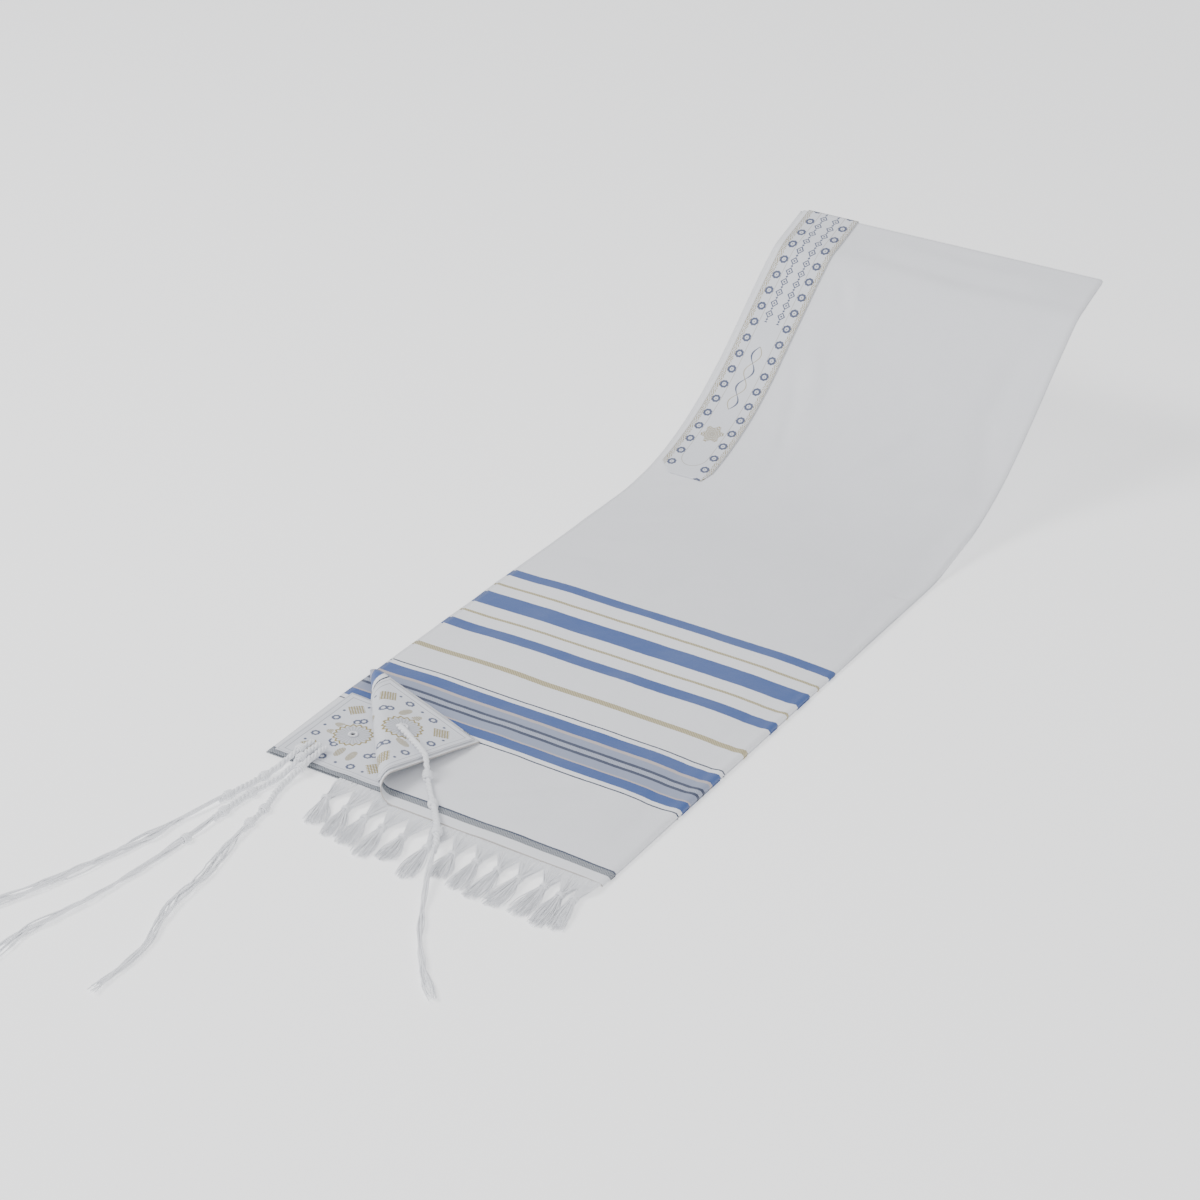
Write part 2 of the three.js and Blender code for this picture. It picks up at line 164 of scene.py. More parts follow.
@dataclass
class Num:
    """A number that varies over a surface. Its arithmetic adds Math nodes."""

    surface: Surface
    socket: bpy.types.NodeSocket

    def _math(self, operation: str, *values: object, clamp: bool = False) -> "Num":
        """One Math node on this number and others."""
        sockets = {f"in_{place}": value for place, value in enumerate(values)}
        made = self.surface.node("Math", {"operation": operation, "use_clamp": clamp}, **sockets)
        return Num(self.surface, made.outputs[0])

    def __add__(self, other: object) -> "Num":
        return self._math("ADD", self, other)

    def __radd__(self, other: object) -> "Num":
        return self._math("ADD", other, self)

    def __sub__(self, other: object) -> "Num":
        return self._math("SUBTRACT", self, other)

    def __rsub__(self, other: object) -> "Num":
        return self._math("SUBTRACT", other, self)

    def __mul__(self, other: object) -> "Num":
        return self._math("MULTIPLY", self, other)

    def __rmul__(self, other: object) -> "Num":
        return self._math("MULTIPLY", other, self)

    def __truediv__(self, other: object) -> "Num":
        return self._math("DIVIDE", self, other)

    def __abs__(self) -> "Num":
        return self._math("ABSOLUTE", self)

    def sin(self) -> "Num":
        """Sine."""
        return self._math("SINE", self)

    def wave(self, pitch: float) -> "Num":
        """A wave from 0 to 1 that repeats at a pitch."""
        return (self * (2 * math.pi / pitch)).sin() * 0.5 + 0.5

    def repeat(self, pitch: float) -> "Num":
        """The distance from the middle of a repeat, from minus half a pitch to half a pitch."""
        return self._math("WRAP", self, pitch / 2, -pitch / 2)

    def under(self, limit: object, soft: float = 0.3) -> "Num":
        """1 where this number is under a limit and 0 over it, with a soft edge."""
        return ((limit - self) / soft)._math("ADD", (limit - self) / soft, 0.5, clamp=True)

    def between(self, low: float, high: float, soft: float = 0.3) -> "Num":
        """1 between two limits."""
        return abs(self - (low + high) / 2).under((high - low) / 2, soft)

    def most(self, other: object) -> "Num":
        """The larger of two numbers."""
        return self._math("MAXIMUM", self, other)

    def least(self, other: object) -> "Num":
        """The smaller of two numbers."""
        return self._math("MINIMUM", self, other)

    def far(self, other: "Num") -> "Num":
        """Distance from the origin of the point (this number, other)."""
        return (self * self + other * other)._math("SQRT", self * self + other * other)

    def angle(self, other: "Num") -> "Num":
        """Direction of the point (this number, other), in radians."""
        return self._math("ARCTAN2", other, self)


# ---- finishes ----------------------------------------------------------------------------------
class Dye(Enum):
    """Colours of the yarns."""

    CLOTH = 0xEBECF0
    BLUE = 0x12458C
    NAVY = 0x1E2C4C
    SLATE = 0x8790AA
    PINK = 0xB5A9A6
    GOLD = 0xB9AC7E
    CHARCOAL = 0x5C626A
    HAIRLINE = 0xB9B4B0
    SATIN = 0xE0E2E8
    GREY = 0xA9ABB0
    YARN = 0xF4F5F8

    @property
    def linear(self) -> tuple[float, float, float, float]:
        """The colour as linear red, green, blue and alpha."""
        return srgb(self.value)


@dataclass(frozen=True)
class Stripe:
    """A woven stripe across the cloth: where it starts and ends from the near hem, in mm."""

    start: float
    end: float
    dye: Dye
    weave: str = "plain"


STRIPES = (
    # A thin grey line along the very edge of the near hem
    Stripe(-0.4, 0.5, Dye.HAIRLINE),
    Stripe(9.0, 10.3, Dye.NAVY),
    Stripe(10.3, 15.4, Dye.CHARCOAL, "broken"),
    Stripe(15.4, 16.7, Dye.NAVY),
    Stripe(101.4, 103.2, Dye.NAVY),
    Stripe(107.4, 118.4, Dye.BLUE, "satin"),
    Stripe(118.4, 120.4, Dye.PINK),
    Stripe(120.4, 130.2, Dye.SLATE, "satin"),
    Stripe(130.2, 132.4, Dye.NAVY),
    Stripe(132.4, 138.0, Dye.SLATE, "broken"),
    Stripe(138.0, 140.2, Dye.NAVY),
    Stripe(140.2, 148.0, Dye.SLATE, "satin"),
    Stripe(148.0, 151.2, Dye.PINK),
    Stripe(151.2, 164.6, Dye.BLUE, "satin"),
    Stripe(168.4, 170.4, Dye.NAVY),
    Stripe(198.6, 204.8, Dye.GOLD, "metal"),
    Stripe(239.6, 251.6, Dye.BLUE, "satin"),
    Stripe(265.6, 269.6, Dye.GOLD, "metal"),
    Stripe(283.6, 302.6, Dye.BLUE, "satin"),
    Stripe(315.6, 319.6, Dye.GOLD, "metal"),
    Stripe(334.6, 345.8, Dye.BLUE, "satin"),
)
STRIPE_REACH = 400.0
STRIPE_SHIFT = 10.0


@dataclass(frozen=True)
class ClothFinish:
    """Matt plain weave with woven stripes."""

    thread: float = 0.9
    roughness: float = 0.86

    def stops(self, value: Callable[[Stripe], tuple], ground: tuple) -> list[tuple]:
        """Stops of a ramp that follows the stripes.

        Args:
            value: gives a stripe's colour.
            ground: the colour between stripes.

        Returns:
            The ramp's stops, from the near hem.
        """
        made = []
        for place, stripe in enumerate(STRIPES):
            made.append(((stripe.start + STRIPE_SHIFT) / STRIPE_REACH, value(stripe)))
            after = STRIPES[place + 1] if place + 1 < len(STRIPES) else None
            if after is None or after.start > stripe.end:
                made.append(((stripe.end + STRIPE_SHIFT) / STRIPE_REACH, ground))
        return made

    def material(self) -> bpy.types.Material:
        """Builds the material."""
        s = Surface("cloth")
        across, along = s.cut_place()
        wander = (s.noise(260, 2) - 0.5) * 0.5
        place = (along + wander + STRIPE_SHIFT) / STRIPE_REACH
        settings = {"interpolation": "CONSTANT"}
        colour = s.node("ValToRGB", {**settings, "stops": self.stops(
            lambda stripe: stripe.dye.linear, Dye.CLOTH.linear)}, Fac=place).outputs[0]
        kinds = {"plain": (0, 0, 0, 1), "satin": (1, 0, 0, 1), "metal": (0, 1, 0, 1), "broken": (0, 0, 1, 1)}
        kind = s.node("ValToRGB", {**settings, "stops": self.stops(
            lambda stripe: kinds[stripe.weave], kinds["plain"])}, Fac=place).outputs[0]
        masks = s.node("SeparateColor", None, Color=kind)
        satin, metal, broken = (s.number(masks.outputs[i]) for i in range(3))
        twill = (across + along).wave(2.4)
        herring = (abs(across.repeat(6.0)) + along).wave(2.1)
        fibre = s.noise(1500, 4)
        cloudy = s.noise(28, 3)
        colour = s.mix((1 - twill) * metal * 0.55, colour, srgb(0x8B7C50))
        colour = s.mix(twill * metal * 0.35, colour, srgb(0xE4DCC0))
        colour = s.mix(herring * broken * 0.5, colour, srgb(0xC3C7CE))
        colour = s.mix((fibre - 0.35) * 0.16, colour, srgb(0x70747C))
        colour = s.mix((cloudy - 0.3) * 0.1, colour, srgb(0xB4BAC8))
        weft = across.wave(self.thread)
        warp = along.wave(self.thread)
        weave = weft * 0.5 + warp * 0.5 + (twill * metal + herring * broken) * 1.4 + fibre * 0.5
        soft = s.bump(s.noise(70, 3), 0.0012, 0.35)
        fine = s.bump(weave, 0.00012, 0.5, soft)
        rough = self.roughness - satin * 0.22 - metal * 0.4 + (fibre - 0.5) * 0.1
        return s.finish(Base_Color=colour, Roughness=rough, Metallic=metal * 0.35, Normal=fine,
                        Sheen_Weight=0.25, Sheen_Roughness=0.6)


def flower(across: Num, along: Num, radius: float, petals: int = 8) -> Num:
    """A ring-shaped flower round the origin of the given place."""
    lobes = (across.angle(along) * petals).sin() * 0.55
    return abs(across.far(along) - radius * 0.72 - lobes * 0.4).under(radius * 0.26, 0.35)


@dataclass(frozen=True)
class BandFinish:
    """Figured satin of the woven band: flower borders and plain generic figures between them."""

    half: float = 26.0
    flower_pitch: float = 17.0
    flower_place: float = 17.0
    inner_line: float = 12.4
    rosette: float = 623.0
    waves: tuple[float, float] = (655.0, 725.0)
    figures: float = 750.0

    def material(self) -> bpy.types.Material:
        """Builds the material."""
        s = Surface("satin_band")
        across, along = s.cut_place()
        x = across - 31.0
        side = abs(x)
        gold_edge = side.between(self.half - 5.4, self.half - 0.6)
        vines = (abs(along.repeat(8.5)) + side * 1.5).wave(3.1).under(0.5, 0.4)
        sprig = s.noise(900, 2).under(0.56, 0.2)
        gold = gold_edge * vines * sprig
        gold = gold.most(side.between(self.half - 0.9, self.half - 0.4) * 0.7)
        line = side.between(self.inner_line - 0.3, self.inner_line + 0.3)
        arch = abs(x.far((along - 592.0) * 0.9) - self.inner_line).under(0.35)
        upper = along.under(592.0)
        fine = (line * (1 - upper)).most(arch * upper) * 0.65
        blue = flower(side - self.flower_place, along.repeat(self.flower_pitch), 4.3)
        blue = blue.most((side - self.flower_place).far(along.repeat(self.flower_pitch)).under(0.6))
        start, end = self.waves
        swing = ((along - start) * (2 * math.pi / 35.0)).sin() * 4.6
        run = along.between(start, end)
        heavy = abs(swing) * 0.12 + 0.3
        blue = blue.most(abs(x - swing).under(heavy) * run)
        gold = gold.most(abs(x + swing).under(0.45) * run * 0.8)
        row = along - self.rosette
        reach = x.far(row)
        petals = (x.angle(row) * 6).sin() * 1.8
        disc = reach.under(petals + 9.5)
        rosette = disc * (reach + petals * 1.5).wave(2.6).under(0.62, 0.5)
        gold = gold.most(rosette * 0.9)
        tall = along.repeat(11.5)
        column = abs(side - 6.2)
        lozenge = abs(column * 1.1 + abs(tall) - 3.6).under(0.8)
        seed = (column + abs(tall)).under(1.2)
        small = (column + abs((along - 5.75).repeat(11.5))).under(1.3)
        blue = blue.most(lozenge.most(seed).most(small) * (1 - along.under(self.figures)))
        weave = (across * 1.0 + along).wave(1.1)
        fibre = s.noise(1300, 3)
        colour = s.mix(fibre * 0.25, Dye.SATIN.linear, srgb(0xBFC2C9))
        colour = s.mix(fine, colour, srgb(0x9B9483))
        colour = s.mix(gold, colour, srgb(0x9F9161))
        colour = s.mix(blue * (fibre * 0.3 + 0.75), colour, srgb(0x203461))
        thread = gold.most(blue)
        height = s.bump(weave * 0.4 + thread * 0.9 + fibre * 0.3, 0.0003, 0.6)
        rough = 0.48 + fibre * 0.12 + blue * 0.1
        return s.finish(Base_Color=colour, Roughness=rough, Metallic=gold * 0.4, Normal=height,
                        Sheen_Weight=0.15)


@dataclass(frozen=True)
class PatchFinish:
    """Figured satin of a corner patch, in a generic layout round its eyelet."""

    name: str
    middle: tuple[float, float]
    eyelet: tuple[float, float]
    half: float = 48.0

    def material(self) -> bpy.types.Material:
        """Builds the material."""
        s = Surface(self.name)
        across, along = s.cut_place()
        p = abs(across - self.middle[0])
        q = abs(along - self.middle[1])
        high, low = p.most(q), p.least(q)
        lattice = ((p + q).wave(2.8) + (p - q).wave(2.8)).under(1.25, 0.5)
        lozenge = (abs(p - 30.0) + abs(q - 30.0)).under(8.5)
        gold = lozenge * lattice
        leaf = (abs(low - 5.4) * 2.1).far(high - 25.5).under(6.6)
        gold = gold.most(leaf * (high + low * 2).wave(2.4).under(0.7, 0.5))
        blue = flower(low - 13.0, high - 37.0, 3.7)
        blue = blue.most((low - 24.5).far(high - 38.0).under(1.2))
        blue = blue.most(low.far(high - 38.0).under(1.3))
        blue = blue.most(flower(low - 15.5, high - 19.0, 3.4))
        x = across - self.eyelet[0]
        y = along - self.eyelet[1]
        reach = x.far(y)
        ring = abs(reach - 14.0 - (x.angle(y) * 18).sin() * 0.9).under(0.9)
        grey = reach.under(12.8, 1.0)
        free = 1 - reach.under(16.2)
        gold = (gold * free).most(ring)
        blue = blue * free
        frame_line = high.between(self.half - 5.4, self.half - 4.8)
        outer_line = high.between(self.half - 1.6, self.half - 1.0) * 0.8
        # Mask of the eyelet's hole; the sheet has no real hole, so the hole's shade is painted below
        shaded_hole = reach.under(1.7, 0.5)
        weave = (across + along).wave(1.2)
        fibre = s.noise(1300, 3)
        colour = s.mix(fibre * 0.3, Dye.SATIN.linear, srgb(0xB9BCC4))
        colour = s.mix(frame_line.most(outer_line) * 0.6, colour, srgb(0x6E7078))
        stitch = (x.angle(y) * 26).sin() * 0.5 + 0.5
        colour = s.mix(grey * (stitch * 0.35 + fibre * 0.3 + 0.1), colour, srgb(0x84868E))
        colour = s.mix(gold, colour, srgb(0xA29462))
        colour = s.mix(blue * (fibre * 0.3 + 0.75), colour, srgb(0x223560))
        # Painted shade: the eyelet's hole is coloured near-black for the shade that falls inside it
        colour = s.mix(shaded_hole, colour, srgb(0x15161C))
        height = s.bump(weave * 0.4 + gold.most(blue) * 0.9 + fibre * 0.4 - shaded_hole * 3, 0.0003, 0.6)
        return s.finish(Base_Color=colour, Roughness=0.5 + fibre * 0.12, Metallic=gold * 0.4,
                        Normal=height, Sheen_Weight=0.15)


@dataclass(frozen=True)
class YarnFinish:
    """Soft white yarn of the fringe and the tzitzit."""

    name: str
    shade: int
    grain: float

    def material(self) -> bpy.types.Material:
        """Builds the material."""
        s = Surface(self.name)
        fibre = s.noise(self.grain, 4)
        clump = s.noise(160, 2)
        colour = s.mix((fibre - 0.3) * 0.5, Dye.YARN.linear, srgb(self.shade))
        colour = s.mix((clump - 0.4) * 0.3, colour, srgb(self.shade))
        height = s.bump(fibre, 0.0004, 0.7)
        return s.finish(Base_Color=colour, Roughness=0.8 + fibre * 0.1, Normal=height,
                        Sheen_Weight=0.3, Subsurface_Weight=0.0)


# ---- the folded form ---------------------------------------------------------------------------
@dataclass(frozen=True)
class Crease:
    """A soft ridge, or a trough where its height is negative, along listed points in mm."""

    points: tuple[tuple[float, float], ...]
    height: float
    width: float

    def lift(self, across: float, along: float) -> float:
        """How far it lifts the cloth at a point, in mm."""
        margin = self.width * 2.6
        if not (min(p[0] for p in self.points) - margin < across < max(p[0] for p in self.points) + margin
                and min(p[1] for p in self.points) - margin < along < max(p[1] for p in self.points) + margin):
            return 0.0
        lengths = [math.dist(a, b) for a, b in zip(self.points, self.points[1:])]
        before, nearest, where = 0.0, 1e9, 0.0
        for (start, end), length in zip(zip(self.points, self.points[1:]), lengths):
            way = ((across - start[0]) * (end[0] - start[0]) + (along - start[1]) * (end[1] - start[1]))
            share = min(max(way / length ** 2, 0.0), 1.0)
            away = math.hypot(across - start[0] - share * (end[0] - start[0]),
                              along - start[1] - share * (end[1] - start[1]))
            if away < nearest:
                nearest, where = away, before + share * length
            before += length
        fade = math.sin(math.pi * min(max(where / before, 0.06), 0.94)) ** 0.8
        return self.height * fade * math.exp(-(nearest / self.width) ** 2)


CREASES = (
    Crease(((150, 36), (185, 62), (222, 100)), -1.0, 7),
    Crease(((162, 30), (200, 64), (226, 96)), 1.5, 8),
    Crease(((188, 20), (220, 51), (238, 86)), -1.0, 7),
    Crease(((214, 22), (236, 48), (256, 86)), 1.3, 9),
    Crease(((120, 60), (150, 85), (170, 112)), 0.9, 12),
    Crease(((297, 10), (296, 120), (297, 240), (298, 340)), 1.3, 5),
    Crease(((283, 15), (280, 110), (283, 230), (290, 345)), -1.5, 8),
    Crease(((110, 345), (126, 368), (128, 430)), -1.2, 14),
    Crease(((5, 392), (49, 399), (80, 420)), -1.0, 8),
    Crease(((2, 415), (40, 430), (95, 470)), 1.1, 9),
    Crease(((4, 445), (19, 455), (48, 481), (90, 514)), -1.6, 8),
    Crease(((0, 500), (14, 525), (46, 556)), 1.8, 10),
    Crease(((8, 536), (30, 556), (60, 566)), -1.3, 7),
    Crease(((294, 385), (287, 440), (286, 484), (298, 520)), -2.6, 9),
    Crease(((258, 545), (273, 559), (283, 592), (300, 612)), -2.4, 9),
    Crease(((296, 530), (299, 560), (299, 600)), 1.6, 8),
    Crease(((240, 606), (262, 626), (288, 640)), 2.2, 12),
    Crease(((293, 620), (276, 675), (262, 712), (265, 760), (275, 815)), -3.0, 12),
    Crease(((150, 570), (165, 593), (180, 625), (215, 672), (245, 700)), -2.2, 12),
    Crease(((142, 608), (168, 630), (196, 680), (228, 724)), 2.4, 11),
    Crease(((130, 640), (147, 670), (171, 692), (208, 732)), -1.9, 8),
    Crease(((80, 745), (92, 712), (106, 672)), 2.0, 9),
    Crease(((66, 730), (82, 692), (98, 630), (102, 590)), -2.0, 7),
    Crease(((74, 812), (82, 798), (92, 782)), -1.3, 5),
    Crease(((84, 820), (96, 800), (106, 776)), 1.2, 6),
    Crease(((58, 846), (181, 838), (294, 840)), -1.6, 8),
    Crease(((95, 862), (180, 858), (262, 862)), 1.0, 7),
)


@dataclass(frozen=True)
class FoldedForm:
    """How the flat cut lies on the folded stack. Its sizes are those of the frame's cloth."""

    origin: Vector
    width: float = 0.300
    length: float = 0.881
    stack_mid: float = 2.55 * MM
    top_mid: float = 4.5 * MM
    edge_roll: float = 1.65 * MM
    sweep: tuple[tuple[float, float], ...] = (
        (0.0, 0.0), (0.505, 0.0), (0.706, 39.7), (0.821, 39.7), (0.837, 18.6), (0.881, 18.6))
    turn_reach: float = 87.5 * MM
    turn_radius: float = 8.0 * MM
    flap_drop: float = math.radians(11)
    away: Vector = field(default_factory=lambda: Vector((0.78, 0.625)).normalized())

    @property
    def turn_start(self) -> float:
        """Distance from the corner at which the roll of the turned corner begins."""
        return self.turn_reach + self.turn_radius

    def at(self, along: float) -> tuple[float, float, float]:
        """Place and slope of the stack's underside at a distance along the cloth."""
        y = z = slope = 0.0
        if along <= 0:
            return along, z, slope
        for (start, low), (end, high) in zip(self.sweep, self.sweep[1:]):
            length, turn = end - start, math.radians(high - low)
            part = min(along - start, length)
            after = slope + turn * part / length
            chord = part if turn == 0 else 2 * length * math.sin((after - slope) / 2) / turn
            y += chord * math.cos((slope + after) / 2)
            z += chord * math.sin((slope + after) / 2)
            slope = after
            if part < length:
                break
        return y, z, slope

    def place(self, across: float, along: float, up: float) -> Vector:
        """A point at a height over the stack's underside; past the far end it goes round the fold."""
        if along <= self.length:
            y, z, slope = self.at(along)
            local = Vector((across, y - up * math.sin(slope), z + up * math.cos(slope)))
            return self.origin + local
        lift = up - self.stack_mid
        reach = max(lift, 0.4 * MM)
        angle = min((along - self.length) / reach, math.pi)
        back = along - self.length - reach * angle
        y, z, slope = self.at(self.length)
        out = lift * math.sin(angle) - back
        high = self.stack_mid + lift * math.cos(angle)
        if back > 0:
            y, z, slope = self.at(self.length - back)
            out = 0.0
        local = Vector((across, y + out * math.cos(slope) - high * math.sin(slope),
                        z + out * math.sin(slope) + high * math.cos(slope)))
        return self.origin + local

    def from_corner(self, across: float, along: float) -> float:
        """Distance from the near left corner, square to the turned corner's roll."""
        return across * self.away.x + along * self.away.y

    def turned(self, across: float, along: float, out: float) -> Vector:
        """A point of the turned corner; out is its height over the cloth's middle once turned."""
        start, radius = self.turn_start, self.turn_radius
        full = math.pi + self.flap_drop
        past = start - self.from_corner(across, along)
        angle = min(past / radius, full)
        straight = max(past - radius * full, 0.0)
        reach = radius + out
        back = reach * math.sin(angle) + straight * math.cos(angle)
        high = radius - reach * math.cos(angle) + straight * math.sin(angle)
        side = Vector((-self.away.y, self.away.x))
        flat = self.away * (start - back) + side * (across * side.x + along * side.y)
        return self.origin + Vector((flat.x, flat.y, self.top_mid + high))

    def lift(self, across: float, along: float) -> float:
        """How far the top layer stands off its level, from its creases and the air under it."""
        u, s = across / MM, along / MM
        puff = 1.1 * ease(u, 10, 60) * (1 - ease(u, 245, 285)) * ease(s, -5, 40) * (1 - ease(s, 790, 840))
        total = puff + sum(crease.lift(u, s) for crease in CREASES)
        total += 0.9 * noise.noise(Vector((u / 60, s / 75, 3.1)))
        total += 0.35 * noise.noise(Vector((u / 22, s / 26, 8.4)))
        edge = 1.0 * ease(u, 284, 300) * (1 - ease(s, 330, 400))
        calm = 1 - ease(s, 866, 880)
        return (max(total, -0.5 if s < 480 else total) * calm - edge) * MM


# ---- meshes ------------------------------------------------------------------------------------
def flat_sheet(left: float, right: float, near: float, far: float, cell: float) -> bmesh.types.BMesh:
    """A flat grid on the cut, between four sides."""
    bm = bmesh.new()
    columns = max(2, round((right - left) / cell))
    rows = max(2, round((far - near) / cell))
    bmesh.ops.create_grid(bm, x_segments=columns, y_segments=rows, size=0.5)
    bmesh.ops.scale(bm, vec=(right - left, far - near, 1), verts=bm.verts)
    bmesh.ops.translate(bm, vec=((left + right) / 2, (near + far) / 2, 0), verts=bm.verts)
    return bm


def cut_off(bm: bmesh.types.BMesh, point: tuple[float, float], away: tuple[float, float]) -> None:
    """Cuts a flat sheet along a line and drops the side that away points to."""
    everything = [*bm.verts, *bm.edges, *bm.faces]
    bmesh.ops.bisect_plane(bm, geom=everything, plane_co=(*point, 0), plane_no=(*away, 0), clear_outer=True)


def flat_area(bm: bmesh.types.BMesh) -> float:
    """The sheet's area while it is flat."""
    return sum(face.calc_area() for face in bm.faces)


def keep_cut(bm: bmesh.types.BMesh) -> None:
    """Writes each corner's place on the flat cut to the UV map."""
    layer = bm.loops.layers.uv.new("cut")
    for face in bm.faces:
        for loop in face.loops:
            loop[layer].uv = loop.vert.co.xy


def bend(bm: bmesh.types.BMesh, form: Callable[[float, float], Vector]) -> None:
    """Moves each point of a flat sheet to its place on the folded shawl."""
    for vert in bm.verts:
        vert.co = form(vert.co.x, vert.co.y)


def make_piece(name: str, bm: bmesh.types.BMesh, material: bpy.types.Material,
               thickness: float = 0.0) -> bpy.types.Object:
    """Turns a bmesh into an object that rides on the shawl.

    Args:
        name: the piece's name.
        bm: its mesh, freed here.
        material: its finish.
        thickness: a wall to give the sheet, or 0 for a closed mesh.

    Returns:
        The new object.
    """
    mesh = bpy.data.meshes.new(name)
    for face in bm.faces:
        face.smooth = True
    bm.to_mesh(mesh)
    bm.free()
    piece = bpy.data.objects.new(name, mesh)
    bpy.context.scene.collection.objects.link(piece)
    mesh.materials.append(material)
    if thickness:
        wall = piece.modifiers.new("wall", "SOLIDIFY")
        wall.thickness = thickness
        wall.offset = 0.0
    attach(piece, BODY)
    LOG.info("%s: %d faces", name, len(mesh.polygons))
    return piece


Strand = list[tuple[Vector, float]]


def make_strands(name: str, strands: Sequence[Strand], material: bpy.types.Material,
                 roundness: int = 0) -> bpy.types.Object:
    """Makes round strands as one mesh.

    Args:
        name: the piece's name.
        strands: each strand's points with their radii.
        material: its finish.
        roundness: 0 for four sides, 1 for six.

    Returns:
        The new object.
    """
    data = bpy.data.curves.new(name, "CURVE")
    data.dimensions = "3D"
    data.bevel_depth = 1.0
    data.bevel_resolution = roundness
    data.use_fill_caps = True
    for strand in strands:
        line = data.splines.new("POLY")
        line.points.add(len(strand) - 1)
        for point, (place, radius) in zip(line.points, strand):
            point.co = (*place, 1.0)
            point.radius = radius
    holder = bpy.data.objects.new(name + "_line", data)
    bpy.context.scene.collection.objects.link(holder)
    bpy.context.view_layer.update()
    graph = bpy.context.evaluated_depsgraph_get()
    mesh = bpy.data.meshes.new_from_object(holder.evaluated_get(graph))
    bpy.data.objects.remove(holder)
    bpy.data.curves.remove(data)
    bm = bmesh.new()
    bm.from_mesh(mesh)
    bpy.data.meshes.remove(mesh)
    return make_piece(name, bm, material)


# ---- camera, light and floor -------------------------------------------------------------------
@dataclass
class Studio:
    """A camera at a raised three-quarter view, soft light and a pale floor."""

    target: Vector
    azimuth: float = math.radians(31.467)
    elevation: float = math.radians(29.145)
    roll: float = math.radians(1.022)
    distance: float = 2.2826
    lens: float = 83.8

    def camera(self) -> None:
        """Makes the scene's camera."""
        sin_a, cos_a = math.sin(self.azimuth), math.cos(self.azimuth)
        sin_e, cos_e = math.sin(self.elevation), math.cos(self.elevation)
        ahead = Vector((-sin_a * cos_e, cos_a * cos_e, -sin_e))
        right = Vector((cos_a, sin_a, 0))
        up = right.cross(ahead)
        turned_right = right * math.cos(self.roll) + up * math.sin(self.roll)
        turned_up = turned_right.cross(ahead)
        data = bpy.data.cameras.new("camera")
        data.lens = self.lens
        data.sensor_width = 36.0
        data.clip_end = 50.0
        camera = bpy.data.objects.new("camera", data)
        axes = Matrix((turned_right, turned_up, -ahead)).transposed().to_4x4()
        camera.matrix_world = Matrix.Translation(self.target - ahead * self.distance) @ axes
        bpy.context.scene.collection.objects.link(camera)
        bpy.context.scene.camera = camera

    def light(self, name: str, place: tuple, size: float, power: float) -> None:
        """Adds a square soft light that looks at the shawl."""
        data = bpy.data.lights.new(name, "AREA")
        data.size = size
        data.energy = power
        lamp = bpy.data.objects.new(name, data)
        lamp.location = place
        lamp.rotation_euler = (self.target - Vector(place)).to_track_quat("-Z", "Y").to_euler()
        bpy.context.scene.collection.objects.link(lamp)

    def room(self) -> None:
        """Makes the lights, the sky and the floor."""
        self.light("key", (-1.7, -1.3, 2.3), 1.4, 62.0)
        self.light("front", (1.4, -2.6, 1.9), 2.0, 30.0)
        world = bpy.data.worlds.new("sky")
        world.use_nodes = True
        world.node_tree.nodes["Background"].inputs[0].default_value = (0.97, 0.98, 1.0, 1.0)
        world.node_tree.nodes["Background"].inputs[1].default_value = 0.9
        bpy.context.scene.world = world
        bm = bmesh.new()
        bmesh.ops.create_grid(bm, x_segments=1, y_segments=1, size=12.0)
        mesh = bpy.data.meshes.new("floor")
        bm.to_mesh(mesh)
        bm.free()
        floor = bpy.data.objects.new("floor", mesh)
        bpy.context.scene.collection.objects.link(floor)
        s = Surface("floor")
        grain = s.noise(3, 2)
        colour = s.mix(grain * 0.1, srgb(0xFCFCFC), srgb(0xF4F4F4))
        mesh.materials.append(s.finish(Base_Color=colour, Roughness=0.9, Emission_Color=colour,
                                       Emission_Strength=0.55))


# ---- tzitzit -----------------------------------------------------------------------------------
@dataclass(frozen=True)
class Route:
    """A smooth line through given points, with even steps."""

    points: tuple[tuple[float, float, float], ...]
    step: float = 2.0 * MM

    def smooth(self, origin: Vector) -> list[Vector]:
        """Points along the line, a step apart."""
        knots = [origin + Vector(p) * MM for p in self.points]
        padded = [knots[0] * 2 - knots[1], *knots, knots[-1] * 2 - knots[-2]]
        fine = []
        for a, b, c, d in zip(padded, padded[1:], padded[2:], padded[3:]):
            times = [0.0]
            for start, end in ((a, b), (b, c), (c, d)):
                times.append(times[-1] + math.sqrt((end - start).length))
            t0, t1, t2, t3 = times
            for k in range(12):
                t = t1 + (t2 - t1) * k / 12
                ab = a.lerp(b, t / t1)
                bc = b.lerp(c, (t - t1) / (t2 - t1))
                cd = c.lerp(d, (t - t2) / (t3 - t2))
                left = ab.lerp(bc, t / t2)
                right = bc.lerp(cd, (t - t1) / (t3 - t1))
                fine.append(left.lerp(right, (t - t1) / (t2 - t1)))
        fine.append(knots[-1])
        lengths = [0.0]
        for start, end in zip(fine, fine[1:]):
            lengths.append(lengths[-1] + (end - start).length)
        count = round(lengths[-1] / self.step)
        made, place = [], 0
        for k in range(count + 1):
            want = lengths[-1] * k / count
            while place < len(lengths) - 2 and lengths[place + 1] < want:
                place += 1
            share = (want - lengths[place]) / (lengths[place + 1] - lengths[place])
            made.append(fine[place].lerp(fine[place + 1], min(share, 1.0)))
        return made


